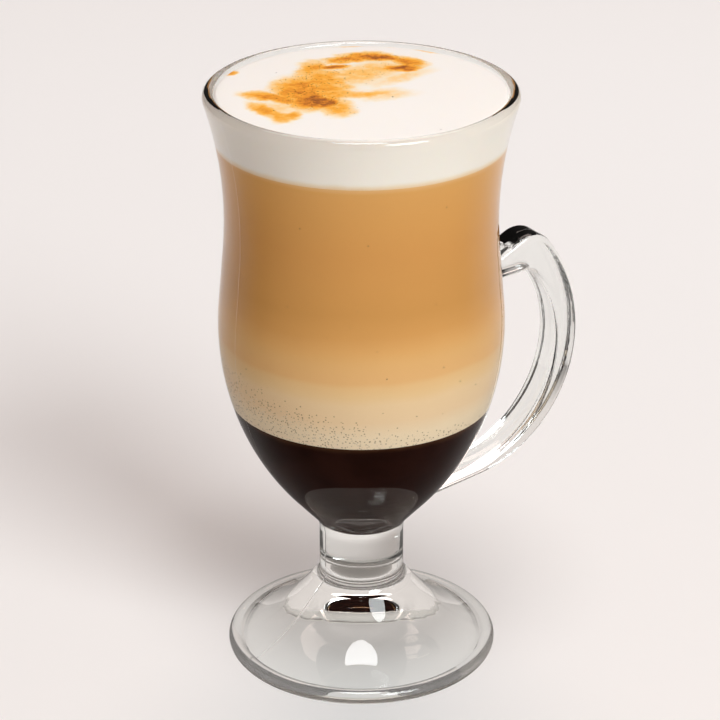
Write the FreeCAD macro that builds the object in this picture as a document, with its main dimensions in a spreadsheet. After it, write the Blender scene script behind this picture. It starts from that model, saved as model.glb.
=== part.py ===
"""Layered mochaccino in a footed glass mug, with its chocolate, milk, coffee and foam.

Frame: millimetres, +Z up, origin at the middle of the ring that the foot stands on.
The handle leaves the bowl towards +X and lies in the XZ plane.
"""
import FreeCAD, Part
import math
import os
import Sketcher
from FreeCAD import Vector

DIMS = {
    # bowl and rim
    "mug_height": 150.7,
    "wall": 3.0,
    "rim_outer_round": 1.6,
    "rim_inner_round": 0.9,
    "waist_narrowing": 2.0,
    "waist_rise": 29.5,
    "waist_curve": 98.0,
    "bulge_radius": 35.5,
    "bulge_curve": 69.0,
    "bowl_slope": 42.0,
    "floor_curve": 13.0,
    # stem and foot
    "stem_radius": 10.7,
    "stem_blend_height": 33.35,
    "stem_blend_curve": 6.0,
    "collar_lip": 2.1,
    "collar_height": 18.6,
    "collar_cove": 4.9,
    "foot_radius": 34.4,
    "foot_slope_curve": 46.0,
    "bead_radius": 1.9,
    "bead_crease_inset": 3.1,
    "ring_inset": 4.9,
    "dome_height": 12.0,
    "dome_curve": 26.0,
    # handle
    "handle_width": 9.0,
    "handle_edge_round": 1.6,
    "handle_root_round": 3.0,
    "handle_tail_round": 2.0,
    "handle_top": 104.6,
    "handle_standoff": 27.2,
    "handle_widest": 75.4,
    "handle_thick": 6.5,
    "handle_crest_curve": 7.2,
    "handle_upper_curve": 42.5,
    "handle_lower_curve": 35.5,
    "handle_eye_top": 94.9,
    "handle_eye_corner": 4.0,
    "handle_eye_upper": 28.0,
    "handle_eye_lower": 32.0,
    "handle_root_depth": 1.5,
    "handle_root_top": 98.0,
    "handle_root_thick": 4.2,
    "handle_tail_depth": 1.0,
    "handle_tail_lift": 3.35,
    "handle_tail_thick": 4.1,
    # drink: the coffee fills what the other layers leave
    "chocolate_level": 70.2,
    "milk_depth": 13.8,
    "latte_depth": 15.0,
    "foam_depth": 12.3,
    "foam_drop": 0.8,
    "foam_crown": 0.7,
}

doc = FreeCAD.newDocument("mochaccino")
sheet = doc.addObject("Spreadsheet::Sheet", "dims")
for row, (alias, number) in enumerate(DIMS.items(), start=1):
    sheet.set("A%d" % row, alias)
    sheet.set("B%d" % row, str(number))
    sheet.setAlias("B%d" % row, alias)
doc.recompute()

START, END, CENTRE = 1, 2, 3
H_AXIS, V_AXIS = -1, -2
SAME_PLACE = 1e-4
ON_SKIN = 0.005

WAIST_RADIUS = "dims.bulge_radius - dims.waist_narrowing"
# the straight lower bowl leaves the stem's blend and runs into the bulge at the same slope
BULGE_HEIGHT = (
    "dims.stem_blend_height + (dims.stem_blend_curve + dims.bulge_curve) * sin(dims.bowl_slope * 1 deg)"
    " + (dims.bulge_radius - dims.stem_radius - (dims.bulge_curve + dims.stem_blend_curve)"
    " * (1 - cos(dims.bowl_slope * 1 deg))) / tan(dims.bowl_slope * 1 deg)"
)
HANDLE_REACH = "dims.bulge_radius + dims.handle_standoff"
ROOT_BOTTOM = "dims.handle_root_top - dims.handle_root_thick"
TAIL_BOTTOM = "dims.stem_blend_height + dims.handle_tail_lift"
MILK_TOP = "dims.chocolate_level + dims.milk_depth"
LATTE_TOP = MILK_TOP + " + dims.latte_depth"
FOAM_TOP = "dims.mug_height - dims.foam_drop"
COFFEE_TOP = FOAM_TOP + " - dims.foam_depth"


def dim(alias):
    """The sheet's present value of a driving dimension."""
    return float(sheet.get(alias))


def bulge_centre():
    """Centre of the bulge's arc, across the axis from the wall that it shapes."""
    slope = math.radians(dim("bowl_slope"))
    curves = dim("stem_blend_curve") + dim("bulge_curve")
    straight = dim("bulge_radius") - dim("stem_radius") - curves * (1 - math.cos(slope))
    height = dim("stem_blend_height") + curves * math.sin(slope) + straight / math.tan(slope)
    return dim("bulge_radius") - dim("bulge_curve"), height


def waist_centre():
    """Centre of the waist's arc, outside the bowl."""
    across = dim("bulge_radius") - dim("waist_narrowing") + dim("waist_curve")
    return across, bulge_centre()[1] + dim("waist_rise")


# ---------------------------------------------------------------- sketch helpers

def new_sketch(body, name, role):
    """An empty sketch on one of the body's own upright planes: sketch y is Z."""
    sketch = body.newObject("Sketcher::SketchObject", name)
    for feature in body.Origin.OriginFeatures:
        if feature.Role == role:
            sketch.AttachmentSupport = [(feature, "")]
    sketch.MapMode = "FlatFace"
    return sketch


def line(sketch, start, end):
    """A straight edge between two (x, z) points; returns its number in the sketch."""
    return sketch.addGeometry(Part.LineSegment(Vector(*start, 0), Vector(*end, 0)), False)


def arc(sketch, centre, radius, start, end):
    """An anticlockwise arc whose ends lie in the directions of the points start and end."""
    first = math.atan2(start[1] - centre[1], start[0] - centre[0])
    last = math.atan2(end[1] - centre[1], end[0] - centre[0])
    if last <= first:
        last += 2 * math.pi
    circle = Part.Circle(Vector(*centre, 0), Vector(0, 0, 1), radius)
    return sketch.addGeometry(Part.ArcOfCircle(circle, first, last), False)


def join(sketch, one, one_end, two, two_end):
    """Two edges share an end point."""
    sketch.addConstraint(Sketcher.Constraint("Coincident", one, one_end, two, two_end))


def blend(sketch, one, one_end, two, two_end):
    """Two edges share an end point and run on smoothly into each other."""
    sketch.addConstraint(Sketcher.Constraint("Tangent", one, one_end, two, two_end))


def upright(sketch, edge):
    sketch.addConstraint(Sketcher.Constraint("Vertical", edge))


def level(sketch, edge):
    sketch.addConstraint(Sketcher.Constraint("Horizontal", edge))


def on_axis(sketch, edge, point, axis):
    sketch.addConstraint(Sketcher.Constraint("PointOnObject", edge, point, axis))


def bind(sketch, constraint, name, expression):
    """Adds a dimensional constraint, names it and binds it to the sheet."""
    number = sketch.addConstraint(constraint)
    sketch.renameConstraint(number, name)
    sketch.setExpression("Constraints." + name, expression)


def place_x(sketch, edge, point, name, expression, value):
    """The point's distance from the Z axis, negative on its far side."""
    if value < 0:
        bind(sketch, Sketcher.Constraint("DistanceX", edge, point, H_AXIS, 1, -value), name,
             "-(%s)" % expression)
    else:
        bind(sketch, Sketcher.Constraint("DistanceX", H_AXIS, 1, edge, point, value), name, expression)


def place_z(sketch, edge, point, name, expression, value):
    """The point's height over the surface that the mug stands on."""
    bind(sketch, Sketcher.Constraint("DistanceY", H_AXIS, 1, edge, point, value), name, expression)


def curve(sketch, edge, name, expression, value):
    bind(sketch, Sketcher.Constraint("Radius", edge, value), name, expression)


def towards(centre, radius, target):
    """The point of a circle that lies in the direction of the target."""
    span = math.dist(centre, target)
    return (centre[0] + radius * (target[0] - centre[0]) / span,
            centre[1] + radius * (target[1] - centre[1]) / span)


def at_angle(centre, radius, degrees):
    turn = math.radians(degrees)
    return centre[0] + radius * math.cos(turn), centre[1] + radius * math.sin(turn)


def touch_from(point, centre, radius, side):
    """Where a straight edge from a point touches a circle; side 1 is anticlockwise of the point."""
    course = math.atan2(point[1] - centre[1], point[0] - centre[0])
    spread = math.acos(radius / math.dist(point, centre))
    return at_angle(centre, radius, math.degrees(course + side * spread))


def crossing_tangent(one, one_radius, two, two_radius, side):
    """Touch points of the straight edge that passes between two circles, from one to two."""
    span = math.dist(one, two)
    course = math.atan2(two[1] - one[1], two[0] - one[0])
    spread = math.acos((one_radius + two_radius) / span)
    turn = math.degrees(course + side * spread)
    return at_angle(one, one_radius, turn), at_angle(two, two_radius, turn + 180)


# ---------------------------------------------------------------- bowl profile

def bowl_wall(sketch, inset, inset_name, foot_end, top):
    """The bulge, the flank and the waist, inset from the outer wall; returns the bulge and the waist."""
    bulge_at = bulge_centre()
    waist_at = waist_centre()
    bulge_size = dim("bulge_curve") - inset
    waist_size = dim("waist_curve") + inset
    low, high = crossing_tangent(bulge_at, bulge_size, waist_at, waist_size, -1)
    reach = waist_at[0] - math.sqrt(waist_size ** 2 - (top - waist_at[1]) ** 2)
    bulge = arc(sketch, bulge_at, bulge_size, foot_end, low)
    flank = line(sketch, low, high)
    waist = arc(sketch, waist_at, waist_size, (reach, top), high)
    blend(sketch, bulge, END, flank, START)
    blend(sketch, flank, END, waist, END)
    place_x(sketch, bulge, CENTRE, "bulge_x", "dims.bulge_radius - dims.bulge_curve", bulge_at[0])
    place_z(sketch, bulge, CENTRE, "bulge_z", BULGE_HEIGHT, bulge_at[1])
    curve(sketch, bulge, "bulge_size", "dims.bulge_curve - " + inset_name, bulge_size)
    place_x(sketch, waist, CENTRE, "waist_x", WAIST_RADIUS + " + dims.waist_curve", waist_at[0])
    place_z(sketch, waist, CENTRE, "waist_z", BULGE_HEIGHT + " + dims.waist_rise", waist_at[1])
    curve(sketch, waist, "waist_size", "dims.waist_curve + " + inset_name, waist_size)
    return bulge, waist


def axis_edge(sketch, low_edge, low_point, high_edge, high_point, low, high):
    """Closes a profile along the Z axis."""
    axis = line(sketch, (0, low), (0, high))
    join(sketch, axis, START, low_edge, low_point)
    join(sketch, axis, END, high_edge, high_point)


def mug_profile(body):
    """Half section of the turned blank: foot, stem and bowl as one filled outline."""
    sketch = new_sketch(body, "mug_profile", "YZ_Plane")
    stem = dim("stem_radius")
    collar = (stem + dim("collar_lip"), dim("collar_height"))
    bead = dim("bead_radius")
    bead_centre = (dim("foot_radius") - bead, bead)
    crease_x = dim("foot_radius") - dim("bead_crease_inset")
    crease = (crease_x, bead + math.sqrt(bead ** 2 - (crease_x - bead_centre[0]) ** 2))
    ring = (dim("foot_radius") - dim("ring_inset"), 0)
    top = dim("mug_height")

    dome_height = dim("dome_height")
    dome_size = dim("dome_curve")
    dome_centre = (0, dome_height - dome_size)
    dome_foot = touch_from(ring, dome_centre, dome_size, 1)
    dome = arc(sketch, dome_centre, dome_size, dome_foot, (0, dome_height))
    on_axis(sketch, dome, CENTRE, V_AXIS)
    on_axis(sketch, dome, END, V_AXIS)
    curve(sketch, dome, "dome", "dims.dome_curve", dome_size)
    place_z(sketch, dome, END, "dome_top", "dims.dome_height", dome_height)
    dome_side = line(sketch, ring, dome_foot)
    blend(sketch, dome_side, END, dome, START)
    on_axis(sketch, dome_side, START, H_AXIS)
    place_x(sketch, dome_side, START, "ring_in", "dims.foot_radius - dims.ring_inset", ring[0])

    ring_face = line(sketch, ring, (bead_centre[0], 0))
    join(sketch, ring_face, START, dome_side, START)
    level(sketch, ring_face)

    bead_edge = arc(sketch, bead_centre, bead, (bead_centre[0], 0), crease)
    blend(sketch, ring_face, END, bead_edge, START)
    curve(sketch, bead_edge, "bead", "dims.bead_radius", bead)
    place_x(sketch, bead_edge, CENTRE, "bead_x", "dims.foot_radius - dims.bead_radius", bead_centre[0])
    place_x(sketch, bead_edge, END, "crease_x", "dims.foot_radius - dims.bead_crease_inset", crease_x)

    slope_size = dim("foot_slope_curve")
    half = math.dist(collar, crease) / 2
    lift = math.sqrt(slope_size ** 2 - half ** 2) / (2 * half)
    slope_centre = ((collar[0] + crease[0]) / 2 + (collar[1] - crease[1]) * lift,
                    (collar[1] + crease[1]) / 2 + (crease[0] - collar[0]) * lift)
    slope = arc(sketch, slope_centre, slope_size, collar, crease)
    join(sketch, slope, END, bead_edge, END)
    curve(sketch, slope, "slope", "dims.foot_slope_curve", slope_size)
    place_x(sketch, slope, START, "collar_x", "dims.stem_radius + dims.collar_lip", collar[0])
    place_z(sketch, slope, START, "collar_z", "dims.collar_height", collar[1])

    cove_size = dim("collar_cove")
    cove_x = stem + cove_size
    cove_centre = (cove_x, collar[1] + math.sqrt(cove_size ** 2 - (cove_x - collar[0]) ** 2))
    cove = arc(sketch, cove_centre, cove_size, (stem, cove_centre[1]), collar)
    join(sketch, cove, END, slope, START)
    curve(sketch, cove, "cove", "dims.collar_cove", cove_size)

    blend_size = dim("stem_blend_curve")
    blend_centre = (stem + blend_size, dim("stem_blend_height"))
    stem_side = line(sketch, (stem, cove_centre[1]), (stem, blend_centre[1]))
    blend(sketch, cove, START, stem_side, START)
    upright(sketch, stem_side)
    place_x(sketch, stem_side, START, "stem_x", "dims.stem_radius", stem)

    low, high = crossing_tangent(blend_centre, blend_size, bulge_centre(), dim("bulge_curve"), 1)
    stem_blend = arc(sketch, blend_centre, blend_size, low, (stem, blend_centre[1]))
    blend(sketch, stem_side, END, stem_blend, END)
    curve(sketch, stem_blend, "stem_blend", "dims.stem_blend_curve", blend_size)
    place_z(sketch, stem_blend, CENTRE, "blend_z", "dims.stem_blend_height", blend_centre[1])
    lower_bowl = line(sketch, low, high)
    blend(sketch, stem_blend, START, lower_bowl, START)

    bulge, waist = bowl_wall(sketch, 0, "0", high, top)
    blend(sketch, lower_bowl, END, bulge, START)
    rim_x = sketch.Geometry[waist].StartPoint.x
    rim_face = line(sketch, (rim_x, top), (0, top))
    join(sketch, rim_face, START, waist, START)
    level(sketch, rim_face)
    place_z(sketch, rim_face, END, "rim_z", "dims.mug_height", top)
    axis_edge(sketch, dome, END, rim_face, END, dome_height, top)
    return sketch


def cavity_profile(body, name, crown):
    """Half section of the inside of the bowl, closed flat over the rim or by the foam's crown."""
    sketch = new_sketch(body, name, "YZ_Plane")
    inset = dim("wall")
    bulge_at = bulge_centre()
    floor_size = dim("floor_curve")
    gap = dim("bulge_curve") - inset - floor_size
    top = dim("mug_height")
    if crown:
        top -= dim("foam_drop")
    floor_z = bulge_at[1] - math.sqrt(gap ** 2 - bulge_at[0] ** 2)
    corner = towards(bulge_at, dim("bulge_curve") - inset, (0, floor_z))
    floor = arc(sketch, (0, floor_z), floor_size, (0, floor_z - floor_size), corner)
    on_axis(sketch, floor, CENTRE, V_AXIS)
    on_axis(sketch, floor, START, V_AXIS)
    curve(sketch, floor, "floor", "dims.floor_curve", floor_size)
    bulge, waist = bowl_wall(sketch, inset, "dims.wall", corner, top)
    blend(sketch, floor, END, bulge, START)
    side_x = sketch.Geometry[waist].StartPoint.x
    if crown:
        rise = dim("foam_crown")
        crown_size = (side_x ** 2 + rise ** 2) / (2 * rise)
        lid = arc(sketch, (0, top + rise - crown_size), crown_size, (side_x, top), (0, top + rise))
        on_axis(sketch, lid, CENTRE, V_AXIS)
        on_axis(sketch, lid, END, V_AXIS)
        place_z(sketch, lid, START, "foam_z", FOAM_TOP, top)
        place_z(sketch, lid, END, "crown_z", FOAM_TOP + " + dims.foam_crown", top + rise)
        top += rise
    else:
        lid = line(sketch, (side_x, top), (0, top))
        level(sketch, lid)
        place_z(sketch, lid, END, "rim_z", "dims.mug_height", top)
    join(sketch, lid, START, waist, START)
    axis_edge(sketch, floor, START, lid, END, floor_z - floor_size, top)
    return sketch


# ---------------------------------------------------------------- handle profile

def handle_profile(body):
    """Side view of the ear-shaped handle: thick at its crest, thinner down to its tail."""
    sketch = new_sketch(body, "handle_profile", "XZ_Plane")
    widest = dim("handle_widest")
    root_x = dim("bulge_radius") - dim("handle_root_depth")
    tail_x = dim("stem_radius") - dim("handle_tail_depth")
    root_top = (root_x, dim("handle_root_top"))
    root_bottom = (root_x, dim("handle_root_top") - dim("handle_root_thick"))
    tail_bottom = (tail_x, dim("stem_blend_height") + dim("handle_tail_lift"))
    tail_top = (tail_x, tail_bottom[1] + dim("handle_tail_thick"))

    # outer side, from the crest down to the tail
    crest_size = dim("handle_crest_curve")
    upper_size = dim("handle_upper_curve")
    lower_size = dim("handle_lower_curve")
    reach = dim("bulge_radius") + dim("handle_standoff")
    upper_centre = (reach - upper_size, widest)
    lower_centre = (reach - lower_size, widest)
    crest_z = dim("handle_top") - crest_size
    crest_x = upper_centre[0] + math.sqrt((upper_size - crest_size) ** 2 - (crest_z - widest) ** 2)
    crest_centre = (crest_x, crest_z)
    shoulder = towards(upper_centre, upper_size, crest_centre)
    crest_start = touch_from(root_top, crest_centre, crest_size, -1)
    tail_start = touch_from(tail_bottom, lower_centre, lower_size, 1)
    neck = line(sketch, root_top, crest_start)
    crest = arc(sketch, crest_centre, crest_size, shoulder, crest_start)
    upper = arc(sketch, upper_centre, upper_size, (reach, widest), shoulder)
    lower = arc(sketch, lower_centre, lower_size, tail_start, (reach, widest))
    under = line(sketch, tail_bottom, tail_start)
    blend(sketch, neck, END, crest, END)
    blend(sketch, crest, START, upper, END)
    blend(sketch, upper, START, lower, END)
    blend(sketch, lower, START, under, END)
    curve(sketch, crest, "crest", "dims.handle_crest_curve", crest_size)
    curve(sketch, upper, "upper", "dims.handle_upper_curve", upper_size)
    curve(sketch, lower, "lower", "dims.handle_lower_curve", lower_size)
    place_z(sketch, crest, CENTRE, "crest_z", "dims.handle_top - dims.handle_crest_curve", crest_z)
    place_x(sketch, upper, START, "reach", HANDLE_REACH, reach)
    place_z(sketch, upper, CENTRE, "upper_z", "dims.handle_widest", widest)
    place_z(sketch, lower, CENTRE, "lower_z", "dims.handle_widest", widest)

    # inner side, round the eye that the finger goes through
    corner_size = dim("handle_eye_corner")
    inner_upper_size = dim("handle_eye_upper")
    inner_lower_size = dim("handle_eye_lower")
    inner_reach = reach - dim("handle_thick")
    inner_upper_centre = (inner_reach - inner_upper_size, widest)
    inner_lower_centre = (inner_reach - inner_lower_size, widest)
    corner_z = dim("handle_eye_top") - corner_size
    corner_x = inner_upper_centre[0] + math.sqrt(
        (inner_upper_size - corner_size) ** 2 - (corner_z - widest) ** 2)
    corner_centre = (corner_x, corner_z)
    turn = towards(inner_upper_centre, inner_upper_size, corner_centre)
    roof_end = touch_from(root_bottom, corner_centre, corner_size, -1)
    sill_end = touch_from(tail_top, inner_lower_centre, inner_lower_size, 1)
    roof = line(sketch, root_bottom, roof_end)
    corner = arc(sketch, corner_centre, corner_size, turn, roof_end)
    inner_upper = arc(sketch, inner_upper_centre, inner_upper_size, (inner_reach, widest), turn)
    inner_lower = arc(sketch, inner_lower_centre, inner_lower_size, sill_end, (inner_reach, widest))
    sill = line(sketch, tail_top, sill_end)
    blend(sketch, roof, END, corner, END)
    blend(sketch, corner, START, inner_upper, END)
    blend(sketch, inner_upper, START, inner_lower, END)
    blend(sketch, inner_lower, START, sill, END)
    curve(sketch, corner, "corner", "dims.handle_eye_corner", corner_size)
    curve(sketch, inner_upper, "eye_upper", "dims.handle_eye_upper", inner_upper_size)
    curve(sketch, inner_lower, "eye_lower", "dims.handle_eye_lower", inner_lower_size)
    place_z(sketch, corner, CENTRE, "corner_z", "dims.handle_eye_top - dims.handle_eye_corner", corner_z)
    place_x(sketch, inner_upper, START, "eye_reach", HANDLE_REACH + " - dims.handle_thick", inner_reach)
    place_z(sketch, inner_upper, CENTRE, "eye_upper_z", "dims.handle_widest", widest)
    place_z(sketch, inner_lower, CENTRE, "eye_lower_z", "dims.handle_widest", widest)

    # the two ends, buried in the bowl's wall
    root_end = line(sketch, root_bottom, root_top)
    join(sketch, root_end, START, roof, START)
    join(sketch, root_end, END, neck, START)
    upright(sketch, root_end)
    place_z(sketch, root_end, START, "root_bottom", ROOT_BOTTOM, root_bottom[1])
    place_z(sketch, root_end, END, "root_top", "dims.handle_root_top", root_top[1])
    place_x(sketch, root_end, START, "root_x", "dims.bulge_radius - dims.handle_root_depth", root_x)
    tail_end = line(sketch, tail_bottom, tail_top)
    join(sketch, tail_end, START, under, START)
    join(sketch, tail_end, END, sill, START)
    upright(sketch, tail_end)
    place_z(sketch, tail_end, START, "tail_bottom", TAIL_BOTTOM, tail_bottom[1])
    place_z(sketch, tail_end, END, "tail_top", TAIL_BOTTOM + " + dims.handle_tail_thick", tail_top[1])
    place_x(sketch, tail_end, START, "tail_x", "dims.stem_radius - dims.handle_tail_depth", tail_x)
    return sketch


# ---------------------------------------------------------------- features

def revolve(body, kind, name, sketch):
    """A full turn of a sketch about the Z axis, added or cut."""
    feature = body.newObject(kind, name)
    feature.Profile = sketch
    feature.ReferenceAxis = (sketch, ["V_Axis"])
    feature.Angle = 360
    sketch.Visibility = False
    doc.recompute()
    return feature


def round_edges(body, name, base, keep, alias):
    """Rounds the edges of the base for which keep(edge) is true."""
    names = []
    for number, edge in enumerate(base.Shape.Edges, start=1):
        if not edge.Degenerated and keep(edge):
            names.append("Edge%d" % number)
    if not names:
        raise ValueError("no edge to round for " + name)
    feature = body.newObject("PartDesign::Fillet", name)
    feature.Base = (base, names)
    feature.setExpression("Radius", "dims." + alias)
    doc.recompute()
    return feature


# ---------------------------------------------------------------- handle

handle = doc.addObject("PartDesign::Body", "handle")
side_view = handle_profile(handle)
doc.recompute()
grip = handle.newObject("PartDesign::Pad", "grip")
grip.Profile = side_view
grip.Midplane = True
grip.setExpression("Length", "dims.handle_width")
side_view.Visibility = False
doc.recompute()


def down_the_side(edge):
    """True for a long edge of the grip, not for the ends buried in the bowl."""
    box = edge.BoundBox
    return box.YLength < SAME_PLACE < box.XLength


rounded_grip = round_edges(handle, "rounded_grip", grip, down_the_side, "handle_edge_round")

# ---------------------------------------------------------------- glass mug

glass = doc.addObject("PartDesign::Body", "glass_mug")
blank = revolve(glass, "PartDesign::Revolution", "blank", mug_profile(glass))
joined = glass.newObject("PartDesign::Boolean", "joined")
joined.Type = "Fuse"
joined.setObjects([handle])
doc.recompute()


def lies_on(edge, shape):
    """True where the start, middle and end of an edge lie on the skin of a shape."""
    span = edge.LastParameter - edge.FirstParameter
    skin = Part.Compound(shape.Faces)
    for share in (0.01, 0.5, 0.99):
        point = Part.Vertex(edge.valueAt(edge.FirstParameter + share * span))
        if skin.distToShape(point)[0] > ON_SKIN:
            return False
    return True


def meets_bowl(edge):
    """True for an edge between the handle's skin and the bowl's."""
    return edge.BoundBox.XMin > 0 and lies_on(edge, rounded_grip.Shape) and lies_on(edge, blank.Shape)


def at_root(edge):
    return edge.BoundBox.ZMin > dim("handle_widest") and meets_bowl(edge)


def at_tail(edge):
    return edge.BoundBox.ZMax < dim("handle_widest") and meets_bowl(edge)


def on_mouth(edge):
    """True for the full circle round the mouth that the cavity or the outer wall ends in."""
    box = edge.BoundBox
    return box.ZLength < SAME_PLACE and abs(box.ZMax - dim("mug_height")) < SAME_PLACE


def outer_lip(edge):
    return on_mouth(edge) and edge.BoundBox.XLength > wide_mouth.XLength + dim("wall")


root = round_edges(glass, "root", joined, at_root, "handle_root_round")
tail = round_edges(glass, "tail", root, at_tail, "handle_tail_round")
cavity = revolve(glass, "PartDesign::Groove", "cavity", cavity_profile(glass, "cavity_profile", False))
mouth = [edge.BoundBox for edge in cavity.Shape.Edges if on_mouth(edge)]
wide_mouth = min(mouth, key=lambda box: box.XLength)
lip = round_edges(glass, "lip", cavity, outer_lip, "rim_outer_round")
rim = round_edges(glass, "rim", lip, lambda edge: on_mouth(edge) and not outer_lip(edge), "rim_inner_round")

# ---------------------------------------------------------------- drink

filling = doc.addObject("PartDesign::Body", "filling")
revolve(filling, "PartDesign::Revolution", "fill", cavity_profile(filling, "fill_profile", True))


def drink_layer(name, low, high):
    """The part of the filling between two levels of the sheet, as one flat layer."""
    slab = doc.addObject("Part::Cylinder", name + "_slab")
    slab.setExpression("Radius", WAIST_RADIUS + " + dims.waist_curve")
    slab.setExpression("Height", "(%s) - (%s)" % (high, low))
    slab.setExpression("Placement.Base.z", low)
    layer = doc.addObject("Part::Common", name)
    layer.Base = filling
    layer.Tool = slab
    doc.recompute()
    return layer


parts = [
    glass,
    drink_layer("chocolate", "0", "dims.chocolate_level"),
    drink_layer("milk", "dims.chocolate_level", MILK_TOP),
    drink_layer("latte", MILK_TOP, LATTE_TOP),
    drink_layer("coffee", LATTE_TOP, COFFEE_TOP),
    drink_layer("milk_foam", COFFEE_TOP, FOAM_TOP + " + 2 * dims.foam_crown"),
]

# ---------------------------------------------------------------- checks and files

for item in doc.Objects:
    if "Invalid" in item.State or "Error" in item.State:
        raise RuntimeError("%s failed to build: %s" % (item.Name, item.State))
os.makedirs("parts", exist_ok=True)
for item in parts:
    shape = item.Shape
    if shape.isNull() or not shape.isValid() or len(shape.Solids) != 1:
        raise RuntimeError("%s is not one valid solid" % item.Label)
    shape.exportStep("parts/%s.step" % item.Label)
    print("%-10s %9.1f mm3 %3d faces" % (item.Label, shape.Volume, len(shape.Faces)))
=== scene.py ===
"""A layered mochaccino in its footed glass mug: chocolate, milk, coffee and a cap of milk foam."""
import math
import random

import bpy
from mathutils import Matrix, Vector


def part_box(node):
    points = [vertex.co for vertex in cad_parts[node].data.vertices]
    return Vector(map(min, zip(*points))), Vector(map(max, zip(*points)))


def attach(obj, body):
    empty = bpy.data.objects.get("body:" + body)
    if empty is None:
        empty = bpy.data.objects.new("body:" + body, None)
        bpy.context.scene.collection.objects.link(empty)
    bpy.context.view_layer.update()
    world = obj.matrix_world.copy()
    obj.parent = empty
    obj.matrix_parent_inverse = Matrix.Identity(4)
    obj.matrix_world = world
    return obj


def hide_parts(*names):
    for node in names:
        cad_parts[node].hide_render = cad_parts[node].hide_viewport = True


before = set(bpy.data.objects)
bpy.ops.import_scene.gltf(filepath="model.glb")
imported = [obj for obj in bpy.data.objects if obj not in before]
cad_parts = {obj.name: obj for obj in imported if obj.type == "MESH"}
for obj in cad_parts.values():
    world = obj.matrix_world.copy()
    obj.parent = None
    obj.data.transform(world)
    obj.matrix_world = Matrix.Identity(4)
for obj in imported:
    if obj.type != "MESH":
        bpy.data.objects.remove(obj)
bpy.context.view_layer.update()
MM = 0.001


# ---- Glass mug -------------------------------------------------------------------------------
# A footed mug pressed in one piece from clear soda-lime glass, its handle laid on while hot. It is
# fire-polished, so it is smooth, with faint waves from the mould and a fine raised seam where the
# two halves of the mould met, opposite the handle and along the handle's back.

SEAM_WIDTH, SEAM_DEPTH = 0.3 * MM, 0.1 * MM
WAVE_LENGTH, WAVE_DEPTH = 9 * MM, 0.12 * MM
HANDLE_BACK = 42 * MM


def linear(colour):
    """A #rrggbb colour as the linear values that a shader works with."""
    shares = [int(colour[place:place + 2], 16) / 255 for place in (1, 3, 5)]
    return tuple(s / 12.92 if s <= 0.04045 else ((s + 0.055) / 1.055) ** 2.4 for s in shares) + (1,)


def add(tree, kind, inputs=None, stops=None, **settings):
    """Adds a node. An input that is another node's output is linked; anything else is its value."""
    node = tree.nodes.new(kind)
    for name, value in settings.items():
        setattr(node, name, value)
    for name, value in (inputs or {}).items():
        if isinstance(value, bpy.types.NodeSocket):
            tree.links.new(value, node.inputs[name])
        else:
            node.inputs[name].default_value = value
    for number, (place, colour) in enumerate(stops or []):
        ramp = node.color_ramp.elements
        stop = ramp[number] if number < len(ramp) else ramp.new(place)
        stop.position = place
        stop.color = colour
    return node


def maths(tree, operation, one, two=0.0, three=0.0):
    """One sum as a Math node; returns its result."""
    return add(tree, "ShaderNodeMath", {0: one, 1: two, 2: three}, operation=operation).outputs[0]


def fade(tree, value, start, stop, low=0.0, high=1.0):
    """Runs smoothly from low, where the value is at start, to high, where it is at stop."""
    return add(tree, "ShaderNodeMapRange", {
        "Value": value, "From Min": start, "From Max": stop, "To Min": low, "To Max": high},
        interpolation_type="SMOOTHSTEP").outputs[0]


def new_material(name):
    """A material with an empty node tree and its output node."""
    material = bpy.data.materials.new(name)
    material.use_nodes = True
    material.node_tree.nodes.clear()
    return material, material.node_tree, add(material.node_tree, "ShaderNodeOutputMaterial")


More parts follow.
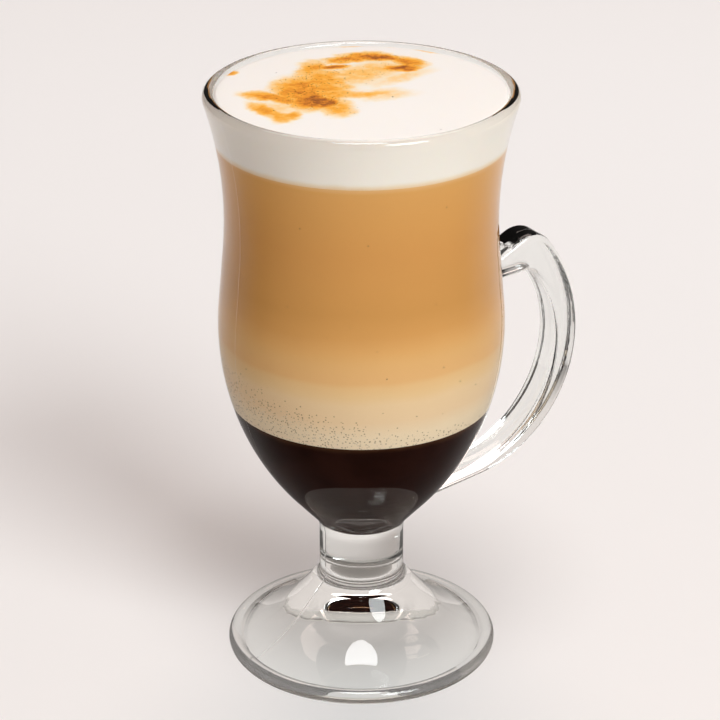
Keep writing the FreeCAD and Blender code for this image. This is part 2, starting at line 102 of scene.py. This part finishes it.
def pressed_glass():
    """Clear soda-lime glass, pressed and fire-polished: a faint green-grey, no grain, soft waves."""
    material, tree, output = new_material("pressed_soda_lime_glass")
    place = add(tree, "ShaderNodeTexCoord").outputs["Object"]
    surface = add(tree, "ShaderNodeNewGeometry")
    axes = add(tree, "ShaderNodeSeparateXYZ", {"Vector": place})
    facing = add(tree, "ShaderNodeSeparateXYZ", {"Vector": surface.outputs["Normal"]})
    x, y = axes.outputs["X"], axes.outputs["Y"]

    # the seam shows on the outside only, on the side away from the handle and on the handle's back
    strip = fade(tree, maths(tree, "ABSOLUTE", y), 0, SEAM_WIDTH, 1, 0)
    side = maths(tree, "MAXIMUM", maths(tree, "LESS_THAN", x, 0), maths(tree, "GREATER_THAN", x, HANDLE_BACK))
    radial = maths(tree, "MULTIPLY", facing.outputs["X"], maths(tree, "SIGN", x))
    outward = maths(tree, "MULTIPLY_ADD", facing.outputs["Z"], 0.3, radial)
    outer = maths(tree, "SUBTRACT", maths(tree, "GREATER_THAN", outward, 0), surface.outputs["Backfacing"])
    seam = maths(tree, "MULTIPLY", maths(tree, "MULTIPLY", strip, side), maths(tree, "MAXIMUM", outer, 0))
    waves = add(tree, "ShaderNodeTexNoise", {
        "Vector": place, "Scale": 1 / WAVE_LENGTH, "Detail": 1, "Roughness": 0.4})
    seam_bump = add(tree, "ShaderNodeBump", {"Height": seam, "Distance": SEAM_DEPTH, "Strength": 0.7})
    wave_bump = add(tree, "ShaderNodeBump", {
        "Height": waves.outputs["Fac"], "Distance": WAVE_DEPTH, "Strength": 0.35,
        "Normal": seam_bump.outputs[0]})
    glass = add(tree, "ShaderNodeBsdfPrincipled", {
        "Base Color": linear("#FBFDFB"), "Roughness": 0.0, "IOR": 1.52,
        "Specular IOR Level": 0.35, "Transmission Weight": 1.0, "Normal": wave_bump.outputs[0]})
    clear = add(tree, "ShaderNodeBsdfTransparent", {"Color": linear("#FFFFFF")})
    path = add(tree, "ShaderNodeLightPath")
    lets_light = maths(tree, "MAXIMUM", path.outputs["Is Shadow Ray"], path.outputs["Is Diffuse Ray"])
    both = add(tree, "ShaderNodeMixShader", {0: lets_light, 1: glass.outputs[0], 2: clear.outputs[0]})
    tree.links.new(both.outputs[0], output.inputs["Surface"])
    return material


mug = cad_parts["glass_mug"]
mug.data.materials[0] = pressed_glass()


# ---- Chocolate -------------------------------------------------------------------------------
# Dark chocolate sauce, poured first: it fills the round floor of the bowl and wets the glass, so it
# shows straight through the wall with no air between.

WETTING = 0.12 * MM
LAP = 0.3 * MM


def wall_of(node):
    """Heights up the side of a poured layer, and the layer's radius at each."""
    radii = {}
    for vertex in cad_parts[node].data.vertices:
        height = round(vertex.co.z, 5)
        radii[height] = max(radii.get(height, 0), math.hypot(vertex.co.x, vertex.co.y))
    return sorted(radii.items())


def radius_at(wall, height):
    """The layer's radius at any height; beyond its ends, the radius at that end."""
    height = min(max(height, wall[0][0]), wall[-1][0])
    for (low, small), (high, large) in zip(wall, wall[1:]):
        if low <= height <= high:
            return small + (large - small) * (height - low) / (high - low)
    return wall[-1][1]


def draw_ring(rise, at, before, after):
    """Draws the selected ring on upwards and scales it from one radius to the next."""
    bpy.ops.mesh.extrude_region_move(TRANSFORM_OT_translate={"value": (0, 0, rise)})
    bpy.ops.transform.resize(value=(after / before, after / before, 1), center_override=(0, 0, at))


def poured(name, node, material, heights, top_rings=()):
    """A layer drawn up ring by ring along the glass, just into it, and closed by further top rings."""
    wall = wall_of(node)
    rings = [(height, radius_at(wall, height) + WETTING) for height in heights] + list(top_rings)
    bpy.ops.object.select_all(action="DESELECT")
    bpy.ops.mesh.primitive_circle_add(
        vertices=160, radius=rings[0][1], fill_type="NGON", location=(0, 0, rings[0][0]))
    piece = bpy.context.object
    piece.name = piece.data.name = name
    bpy.ops.object.transform_apply()
    bpy.ops.object.mode_set(mode="EDIT")
    for (low, small), (high, large) in zip(rings, rings[1:]):
        draw_ring(high - low, high, small, large)
    bpy.ops.mesh.select_all(action="SELECT")
    bpy.ops.mesh.normals_make_consistent(inside=False)
    bpy.ops.object.mode_set(mode="OBJECT")
    bpy.ops.object.shade_smooth_by_angle(angle=math.radians(40))
    piece.data.materials.append(material)
    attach(piece, "root")
    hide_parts(node)


def steps(low, high, count):
    """Evenly spaced heights from low to high, both included."""
    return [low + (high - low) * number / count for number in range(count + 1)]


def lap_over(node, height):
    """Two rings that carry a layer's top a little way up inside the layer above."""
    radius = radius_at(wall_of(node), height)
    return [(height + 0.02 * MM, radius - 0.1 * MM), (height + LAP, radius - 0.2 * MM)]


def sauce():
    """Chocolate sauce: near black and browner where it thins, with a few fine bubbles at the glass."""
    material, tree, output = new_material("dark_chocolate_sauce")
    place = add(tree, "ShaderNodeTexCoord").outputs["Object"]
    height = add(tree, "ShaderNodeSeparateXYZ", {"Vector": place}).outputs["Z"]
    cloud = add(tree, "ShaderNodeTexNoise", {"Vector": place, "Scale": 90, "Detail": 3})
    tone = add(tree, "ShaderNodeValToRGB", {"Fac": cloud.outputs["Fac"]}, stops=[
        (0.3, linear("#1E0E0A")), (0.7, linear("#2A1611"))])
    # milk that has sunk into the top of the sauce
    sunk = fade(tree, maths(tree, "MULTIPLY_ADD", cloud.outputs["Fac"], 2.4 * MM, height),
                69.6 * MM, 71.8 * MM, 0, 0.30)
    stained = add(tree, "ShaderNodeMixRGB", {0: sunk, 1: tone.outputs[0], 2: linear("#6E4A30")})
    cells = add(tree, "ShaderNodeTexVoronoi", {"Vector": place, "Scale": 1 / (1.7 * MM), "Randomness": 1.0})
    dot = fade(tree, cells.outputs["Distance"], 0.06, 0.14, 1, 0)
    chosen = maths(tree, "LESS_THAN", cells.outputs["Color"], 0.07)
    speck = maths(tree, "MULTIPLY", maths(tree, "MULTIPLY", dot, chosen), 0.55)
    dotted = add(tree, "ShaderNodeMixRGB", {0: speck, 1: stained.outputs[0], 2: linear("#A8876B")})
    skin = add(tree, "ShaderNodeBsdfPrincipled", {
        "Base Color": dotted.outputs[0], "Roughness": 0.5, "IOR": 1.45, "Specular IOR Level": 0.0})
    tree.links.new(skin.outputs[0], output.inputs["Surface"])
    return material


floor_z, chocolate_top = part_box("chocolate")[0].z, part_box("chocolate")[1].z
chocolate_rings = [floor_z + (chocolate_top - floor_z) * (number / 40) ** 2 for number in range(1, 41)]
poured("chocolate_sauce", "chocolate", sauce(), chocolate_rings,
       lap_over("chocolate", chocolate_top))


# ---- Milk, milky coffee and coffee -----------------------------------------------------------
# Warm milk lies on the chocolate, and the coffee run in over it has mixed into it in bands. Fine
# bubbles cling to the glass where the milk meets the chocolate and thin out upwards.

BAND_COLOURS = [
    (70.2, "#EDD9BA"), (74.0, "#F1DAB8"), (78.0, "#EFCFA6"), (82.5, "#EFCEA2"), (84.3, "#EDC895"),
    (87.2, "#EBC088"), (88.4, "#E8B57A"), (92.5, "#E5B274"), (96.0, "#E0A867"), (99.5, "#D79D5B"),
    (105.0, "#D09654"), (120.0, "#D79A57"), (130.0, "#DEA25D"), (136.4, "#E2A762"), (137.6, "#EAB97E"),
]
BAND_LOW, BAND_HIGH = 68.0, 139.0
BUBBLE_SPACING = 0.5 * MM


def milky(name):
    """Milk and coffee: opaque, satin through the glass, its bands soft and not quite level."""
    material, tree, output = new_material(name)
    place = add(tree, "ShaderNodeTexCoord").outputs["Object"]
    drift = add(tree, "ShaderNodeTexNoise", {"Vector": place, "Scale": 28, "Detail": 3, "Roughness": 0.5})
    height = add(tree, "ShaderNodeSeparateXYZ", {"Vector": place}).outputs["Z"]
    sway = maths(tree, "MULTIPLY_ADD", drift.outputs["Fac"], 4 * MM, height)
    level = add(tree, "ShaderNodeMapRange", {
        "Value": sway, "From Min": BAND_LOW * MM + 2 * MM, "From Max": BAND_HIGH * MM + 2 * MM})
    bands = add(tree, "ShaderNodeValToRGB", {"Fac": level.outputs[0]}, stops=[
        ((z - BAND_LOW) / (BAND_HIGH - BAND_LOW), linear(colour)) for z, colour in BAND_COLOURS])
    bubbles = add(tree, "ShaderNodeTexVoronoi", {
        "Vector": place, "Scale": 1 / BUBBLE_SPACING, "Randomness": 1.0})
    # the froth stands higher on the side that the milk was poured down
    poured_side = add(tree, "ShaderNodeVectorMath", {0: place, 1: (-0.857, 0.515, 0)}, operation="DOT_PRODUCT")
    froth = maths(tree, "MULTIPLY_ADD", poured_side.outputs["Value"], -0.22, sway)
    round_spot = fade(tree, bubbles.outputs["Distance"], 0.3, 0.5, 1, 0)
    chosen = maths(tree, "LESS_THAN", bubbles.outputs["Color"], fade(tree, froth, 71 * MM, 82 * MM, 0.85, 0.05))
    faint = maths(tree, "MULTIPLY", maths(tree, "MULTIPLY", round_spot, chosen), 0.6)
    spot_tone = add(tree, "ShaderNodeValToRGB", {"Fac": bubbles.outputs["Color"]}, stops=[
        (0.30, linear("#6E5238")), (0.45, linear("#EAD9BE"))])
    speckled = add(tree, "ShaderNodeMixRGB", {0: faint, 1: bands.outputs[0], 2: spot_tone.outputs[0]})
    skin = add(tree, "ShaderNodeBsdfPrincipled", {
        "Base Color": speckled.outputs[0], "Roughness": 0.5, "Specular IOR Level": 0.0})
    tree.links.new(skin.outputs[0], output.inputs["Surface"])
    return material


milk_low, milk_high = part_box("milk")[0].z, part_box("milk")[1].z
latte_high, coffee_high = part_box("latte")[1].z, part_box("coffee")[1].z
poured("warm_milk", "milk", milky("warm_milk"),
       steps(milk_low, milk_high, 10), lap_over("milk", milk_high))
poured("milky_coffee", "latte", milky("milky_coffee"),
       steps(milk_high, latte_high, 10), lap_over("latte", latte_high))
poured("coffee_with_milk", "coffee", milky("coffee_with_milk"),
       steps(latte_high, coffee_high, 24), lap_over("coffee", coffee_high))


# ---- Milk foam -------------------------------------------------------------------------------
# Steamed milk foam, spooned on to the brim and levelled: a dense white cap of bubbles too fine to
# see, a little domed, with a swirl of caramel and coffee soaked into its top. Coffee has soaked a
# millimetre or two up into its side.

# middle x and y in mm, half length, half width, turn in degrees, strength
STAIN_PATCHES = [
    (-22.3, 8.0, 6.4, 3.2, 125, 0.62), (-20.8, 3.8, 4.0, 2.4, -60, 0.62), (-26.6, -1.5, 7.6, 2.5, 95, 0.52),
    (-24.4, -7.2, 4.6, 2.2, 25, 0.50), (-24.2, -1.3, 5.0, 5.0, 0, 0.20),
    (-13.0, 8.0, 9.5, 6.4, 60, 0.62), (-15.2, 0.0, 7.6, 5.2, 75, 0.68), (-12.6, -3.0, 4.4, 4.0, 0, 0.95),
    (-11.5, -9.0, 5.8, 4.2, 60, 0.45), (-8.0, 2.0, 7.0, 6.0, 60, 0.42), (-4.5, 10.0, 8.6, 5.8, 60, 0.46),
    (-3.0, 18.5, 7.4, 3.8, 55, 0.50), (2.6, 18.0, 4.6, 2.0, -25, 0.82), (3.5, 9.5, 8.0, 7.0, 40, 0.26),
    (10.5, 11.5, 7.0, 6.0, 40, 0.24), (8.0, 22.0, 6.0, 3.0, -20, 0.62), (14.5, 21.0, 7.4, 3.8, -32, 0.72),
    (17.4, 18.6, 4.2, 2.2, -32, 0.95), (20.8, 13.0, 5.4, 3.4, -65, 0.66), (16.6, 9.4, 5.0, 3.0, -25, 0.95),
    (12.5, 2.6, 10.0, 3.4, 12, 0.18), (-1.6, -3.6, 7.0, 2.2, -22, 0.36), (2.5, -5.8, 7.6, 4.0, -20, 0.18),
    (15.0, 33.0, 7.0, 2.0, -28, 0.48), (24.5, 27.5, 6.0, 1.8, -42, 0.42), (30.0, 20.0, 5.5, 2.2, -55, 0.72),
    (-20.0, 28.8, 2.0, 1.6, 30, 0.60), (-3.0, 6.0, 15.0, 9.0, 55, 0.07), (13.0, 10.0, 12.0, 8.0, 20, 0.07),
]
STAIN_COLOURS = [
    (0.0, "#F2ECE6"), (0.06, "#F3E5D0"), (0.16, "#F6D3A0"), (0.30, "#F7BF6C"), (0.45, "#F4A93B"),
    (0.62, "#E8942B"), (0.80, "#CC7823"), (1.0, "#985420"),
]
FOAM_CROWN = 0.7 * MM
SHOULDER, SHOULDER_WIDTH = 0.9 * MM, 0.8 * MM
TOP_LOW, TOP_HIGH = 148.7 * MM, 149.2 * MM
SOAK_LOW, SOAK_HIGH = 137.7 * MM, 139.8 * MM
FOAM_BUBBLE = 0.4 * MM


def foam():
    """Dense steamed foam: warm white, matt, with a faint grain of bubbles and its soaked-in swirl."""
    material, tree, output = new_material("steamed_milk_foam")
    place = add(tree, "ShaderNodeTexCoord").outputs["Object"]
    spread = add(tree, "ShaderNodeTexNoise", {"Vector": place, "Scale": 160, "Detail": 4, "Roughness": 0.6})
    shift = add(tree, "ShaderNodeVectorMath", {
        0: spread.outputs["Color"], 1: (0.5, 0.5, 0.5)}, operation="SUBTRACT")
    moved = add(tree, "ShaderNodeVectorMath", {
        0: shift.outputs[0], 1: (6 * MM, 6 * MM, 0), 2: place}, operation="MULTIPLY_ADD")
    stain = None
    for x, y, long, wide, turn, strength in STAIN_PATCHES:
        local = add(tree, "ShaderNodeMapping", {
            "Vector": moved.outputs[0], "Location": (x * MM, y * MM, 0),
            "Rotation": (0, 0, math.radians(turn)), "Scale": (long * MM, wide * MM, 1000)},
            vector_type="TEXTURE")
        reach = add(tree, "ShaderNodeVectorMath", {0: local.outputs[0]}, operation="LENGTH")
        patch = fade(tree, reach.outputs["Value"], 0.2, 1.4, strength, 0)
        stain = patch if stain is None else maths(tree, "MAXIMUM", maths(
            tree, "MULTIPLY_ADD", patch, 0.35, stain), patch)
    mottle = add(tree, "ShaderNodeTexNoise", {"Vector": place, "Scale": 420, "Detail": 4, "Roughness": 0.65})
    uneven = maths(tree, "MULTIPLY", stain, fade(tree, mottle.outputs["Fac"], 0.3, 0.7, 0.7, 1.2))
    height = add(tree, "ShaderNodeSeparateXYZ", {"Vector": place}).outputs["Z"]
    top = fade(tree, height, TOP_LOW, TOP_HIGH)
    amount = maths(tree, "MULTIPLY", uneven, top)
    swirl = add(tree, "ShaderNodeValToRGB", {"Fac": amount}, stops=[
        (share, linear(tone)) for share, tone in STAIN_COLOURS])
    uneven_height = maths(tree, "MULTIPLY_ADD", spread.outputs["Fac"], 0.9 * MM, height)
    # The side above the soaked band is painted paler than the top (#FFF5EA against #F2ECE6). This is painted
    # light that makes up for the lesser light the side gets through the glass. The warmer band low on the side
    # is coffee soaked into the foam.
    side = add(tree, "ShaderNodeMixRGB", {
        0: fade(tree, uneven_height, SOAK_LOW, SOAK_HIGH), 1: linear("#F0CFA0"), 2: linear("#FFF5EA")})
    colour = add(tree, "ShaderNodeMixRGB", {0: top, 1: side.outputs[0], 2: swirl.outputs[0]})
    bubbles = add(tree, "ShaderNodeTexVoronoi", {"Vector": place, "Scale": 1 / FOAM_BUBBLE})
    bump = add(tree, "ShaderNodeBump", {
        "Height": bubbles.outputs["Distance"], "Distance": 0.03 * MM, "Strength": 0.25})
    skin = add(tree, "ShaderNodeBsdfPrincipled", {
        "Base Color": colour.outputs[0], "Roughness": 0.6, "IOR": 1.34, "Specular IOR Level": 0.3,
        "Subsurface Weight": 0.2, "Subsurface Radius": (1, 0.8, 0.6), "Subsurface Scale": 0.6 * MM,
        "Normal": bump.outputs[0]})
    tree.links.new(skin.outputs[0], output.inputs["Surface"])
    return material


foam_low, foam_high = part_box("milk_foam")[0].z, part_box("milk_foam")[1].z
brim = foam_high - FOAM_CROWN
foam_radius = radius_at(wall_of("milk_foam"), brim)
shoulder_rings = [(brim - SHOULDER + SHOULDER * math.sin(math.radians(turn)),
                   foam_radius - SHOULDER_WIDTH * (1 - math.cos(math.radians(turn))))
                  for turn in (10, 25, 40, 55, 70, 82)]
crown_rings = [(brim + FOAM_CROWN * (1 - share ** 2), foam_radius * share)
               for share in (0.95, 0.9, 0.75, 0.55, 0.3, 0.08)]
poured("milk_foam_cap", "milk_foam", foam(),
       steps(foam_low, brim - SHOULDER, 10), shoulder_rings + crown_rings)


# ---- Cinnamon and chocolate specks -------------------------------------------------------------
# Ground cinnamon and a few crumbs of dark chocolate, sprinkled over the swirl: flat irregular
# grains that have sunk a little way into the foam.

def powder(name, colours):
    """Ground spice: each grain its own brown, dry and matt."""
    material, tree, output = new_material(name)
    place = add(tree, "ShaderNodeTexCoord").outputs["Object"]
    grains = add(tree, "ShaderNodeTexNoise", {"Vector": place, "Scale": 1500, "Detail": 1})
    tone = add(tree, "ShaderNodeValToRGB", {"Fac": grains.outputs["Fac"]}, stops=[
        (0.3, linear(colours[0])), (0.7, linear(colours[1]))])
    skin = add(tree, "ShaderNodeBsdfPrincipled", {
        "Base Color": tone.outputs[0], "Roughness": 0.9, "Specular IOR Level": 0.2})
    tree.links.new(skin.outputs[0], output.inputs["Surface"])
    return material


def foam_height(x, y):
    """Height of the domed top of the foam."""
    return brim + FOAM_CROWN * (1 - (x * x + y * y) / foam_radius ** 2)


def sprinkle(name, material, spots):
    """Grains at x, y with a size, made one by one as small turned and flattened pebbles, and joined."""
    bpy.ops.object.select_all(action="DESELECT")
    grains = []
    for x, y, size in spots:
        bpy.ops.mesh.primitive_ico_sphere_add(
            subdivisions=1, radius=size / 2, location=(x, y, foam_height(x, y) - 0.1 * size),
            rotation=(chance.uniform(0, 0.4), chance.uniform(0, 0.4), chance.uniform(0, 6.28)),
            scale=(chance.uniform(0.8, 1.4), chance.uniform(0.5, 0.9), chance.uniform(0.35, 0.6)))
        grains.append(bpy.context.object)
    for grain in grains:
        grain.select_set(True)
    bpy.ops.object.transform_apply()
    bpy.ops.object.join()
    piece = bpy.context.object
    bpy.context.scene.cursor.location = (0, 0, 0)
    bpy.ops.object.origin_set(type="ORIGIN_CURSOR")
    piece.name = piece.data.name = name
    piece.data.materials.append(material)
    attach(piece, "root")


chance = random.Random(7)


def scattered(count, smallest, largest, patches):
    """Places for grains over patches of the swirl, more where the patch is stronger."""
    spots = []
    weights = [long * wide * strength ** 1.5 for x, y, long, wide, turn, strength in patches]
    for patch in chance.choices(patches, weights, k=count):
        x, y, long, wide, turn, strength = patch
        reach, course = 1.05 * math.sqrt(chance.random()), chance.uniform(0, 2 * math.pi)
        along, across = long * reach * math.cos(course), wide * reach * math.sin(course)
        turned = math.radians(turn)
        spots.append((
            (x + along * math.cos(turned) - across * math.sin(turned)) * MM,
            (y + along * math.sin(turned) + across * math.cos(turned)) * MM,
            chance.triangular(smallest, largest, smallest) * MM))
    return spots


sprinkle("cinnamon", powder("ground_cinnamon", ("#7A4420", "#A3622C")),
         scattered(520, 0.16, 0.42, STAIN_PATCHES[5:20]))
sprinkle("chocolate_crumbs", powder("chocolate_crumbs", ("#34180C", "#552A16")),
         scattered(280, 0.20, 0.52, STAIN_PATCHES[5:19]) + [
             (-11.1 * MM, 21.6 * MM, 0.4 * MM), (-25.2 * MM, -2.2 * MM, 0.45 * MM),
             (3.3 * MM, -8.8 * MM, 0.5 * MM), (1.6 * MM, -32.7 * MM, 0.4 * MM)])


# ---- Studio ----------------------------------------------------------------------------------
# A pale sweep of board under a large soft lamp at the right and a round one overhead. The room is
# bright behind the glass and dark in front of it, which draws the dark edges of the clear glass.

AZIMUTH, ELEVATION, DISTANCE = -31.0, 24.45, 694 * MM
BOARD_FRONT, BOARD_BACK = 100 * MM, 600 * MM
CLOTH_FRONT, CLOTH_BACK = 60 * MM, 260 * MM
FLAG_HEIGHT, FLAG_HOLE, FLAG_BACK, FLAG_SIDE = 0.4 * MM, 36 * MM, 30 * MM, 55 * MM


def direction(azimuth, elevation):
    """Unit vector from the mug; azimuth 0 is towards -Y and turns towards +X."""
    turn, rise = math.radians(azimuth), math.radians(elevation)
    return Vector((math.sin(turn) * math.cos(rise), -math.cos(turn) * math.cos(rise), math.sin(rise)))


def stage_plane(name, size, height, material):
    """A flat square sheet of the set, turned to face the camera."""
    bpy.ops.object.select_all(action="DESELECT")
    bpy.ops.mesh.primitive_plane_add(size=size, location=(0, 0, height))
    sheet = bpy.context.object
    sheet.name = name
    bpy.ops.transform.rotate(value=-math.radians(AZIMUTH), orient_axis="Z", center_override=(0, 0, height))
    bpy.ops.object.transform_apply()
    sheet.data.materials.append(material)
    return sheet


def distance_back(tree, place):
    """How far a place lies behind the mug as the camera stands to it."""
    return add(tree, "ShaderNodeVectorMath", {0: place, 1: direction(AZIMUTH + 180, 0)},
               operation="DOT_PRODUCT").outputs["Value"]


def matt_board():
    """Matt white board, a little duller in front and paler behind: painted shade in front and painted light
    behind, standing in for how the lamps fall across it.
    """
    material, tree, output = new_material("matt_white_board")
    place = add(tree, "ShaderNodeTexCoord").outputs["Object"]
    # painted light and shade: the board's tone runs from duller in front to paler behind, in place of how the
    # lamps fall across it
    tone = add(tree, "ShaderNodeValToRGB", {
        "Fac": fade(tree, distance_back(tree, place), -BOARD_FRONT, BOARD_BACK)}, stops=[
        (0.0, linear("#EEEAE8")), (1.0, linear("#FEFCFB"))])
    matt = add(tree, "ShaderNodeBsdfDiffuse", {"Color": tone.outputs[0]})
    tree.links.new(matt.outputs[0], output.inputs["Surface"])
    return material


def flag_cloth():
    """Black cloth, paler towards the back, that only shows in the glass and darkens its edges: a dark sheet
    that puts painted shade into the glass's reflections. It is open under the foot to rays not yet mirrored,
    while in the glass's reflections that hole shows grey, painted shade for the shadow under the foot; and it
    is open behind and beside the mug to what is seen through the glass."""
    material, tree, output = new_material("black_flag_cloth")
    place = add(tree, "ShaderNodeTexCoord").outputs["Object"]
    back = distance_back(tree, place)
    ray = add(tree, "ShaderNodeLightPath")
    from_axis = add(tree, "ShaderNodeVectorMath", {0: place}, operation="LENGTH").outputs["Value"]
    hole = maths(tree, "LESS_THAN", from_axis, FLAG_HOLE)
    under_foot = maths(tree, "MULTIPLY", hole, maths(tree, "LESS_THAN", ray.outputs["Glossy Depth"], 0.5))
    aside = add(tree, "ShaderNodeVectorMath", {0: place, 1: direction(AZIMUTH + 90, 0)},
                operation="DOT_PRODUCT").outputs["Value"]
    beyond = maths(tree, "MAXIMUM", maths(tree, "GREATER_THAN", back, FLAG_BACK),
                   maths(tree, "GREATER_THAN", aside, FLAG_SIDE))
    behind = maths(tree, "MULTIPLY", beyond, ray.outputs["Is Transmission Ray"])
    tone = add(tree, "ShaderNodeValToRGB", {"Fac": fade(tree, back, -CLOTH_FRONT, CLOTH_BACK)}, stops=[
        (0.0, linear("#0A0A09")), (1.0, linear("#EBE8E6"))])
    # painted shade: in the glass's reflections the hole under the foot shows grey, standing in for the shadow
    # under the foot
    patch = add(tree, "ShaderNodeMixRGB", {0: hole, 1: tone.outputs[0], 2: linear("#9E9994")})
    cloth = add(tree, "ShaderNodeBsdfDiffuse", {"Color": patch.outputs[0]})
    opening = add(tree, "ShaderNodeBsdfTransparent")
    mixed = add(tree, "ShaderNodeMixShader", {
        0: maths(tree, "MAXIMUM", under_foot, behind), 1: cloth.outputs[0], 2: opening.outputs[0]})
    tree.links.new(mixed.outputs[0], output.inputs["Surface"])
    return material


stage_plane("studio_board", 6.0, 0, matt_board())
flag = stage_plane("black_flag", 4.0, FLAG_HEIGHT, flag_cloth())
flag.visible_camera = False
flag.visible_diffuse = False
flag.visible_shadow = False

world = bpy.data.worlds.new("studio")
bpy.context.scene.world = world
world.use_nodes = True
tree = world.node_tree
tree.nodes.clear()
output = add(tree, "ShaderNodeOutputWorld")
path = add(tree, "ShaderNodeLightPath")
looking = add(tree, "ShaderNodeTexCoord").outputs["Generated"]
behind = add(tree, "ShaderNodeVectorMath", {
    0: looking, 1: direction(AZIMUTH + 180, 34)}, operation="DOT_PRODUCT").outputs["Value"]
wall_light = fade(tree, behind, 0.05, 0.55, 0.06, 0.85)
through = maths(tree, "MAXIMUM", path.outputs["Is Transmission Ray"], path.outputs["Is Camera Ray"])
seen = maths(tree, "MULTIPLY", wall_light, through)
room_light = maths(tree, "MAXIMUM", seen, 0.07)
room = add(tree, "ShaderNodeBackground", {"Color": linear("#FBF1EC"), "Strength": room_light})
tree.links.new(room.outputs[0], output.inputs["Surface"])


def soft_lamp(name, azimuth, elevation, distance, side, power, colour="#FFFFFF"):
    """A round soft box at a direction seen from the mug, in degrees, facing the mug."""
    towards = direction(azimuth, elevation)
    lamp = bpy.data.lights.new(name, "AREA")
    lamp.shape = "DISK"
    lamp.size = side
    lamp.energy = power
    lamp.color = linear(colour)[:3]
    holder = bpy.data.objects.new(name, lamp)
    bpy.context.scene.collection.objects.link(holder)
    holder.location = Vector((0, 0, 80 * MM)) + towards * distance
    holder.rotation_euler = towards.to_track_quat("Z", "Y").to_euler()


soft_lamp("key_soft_box", AZIMUTH + 36, 38, 2.6, 1.3, 44.5, "#F9FEFF")
soft_lamp("overhead", AZIMUTH, 77, 2.0, 0.8, 17.0)
soft_lamp("back_fill", AZIMUTH + 180, 60, 2.6, 1.8, 20.0, "#FFEAE2")

AIM = Vector((0, 0, 79.5 * MM))
away = direction(AZIMUTH, ELEVATION)
lens = bpy.data.cameras.new("camera")
lens.lens = 139.35
lens.sensor_width = 36
lens.clip_start = 0.01
camera = bpy.data.objects.new("camera", lens)
bpy.context.scene.collection.objects.link(camera)
camera.location = AIM + away * DISTANCE
camera.rotation_euler = away.to_track_quat("Z", "Y").to_euler()
lens.shift_x = -1.41 / 720
bpy.context.scene.camera = camera
bpy.context.scene.view_settings.view_transform = "Standard"
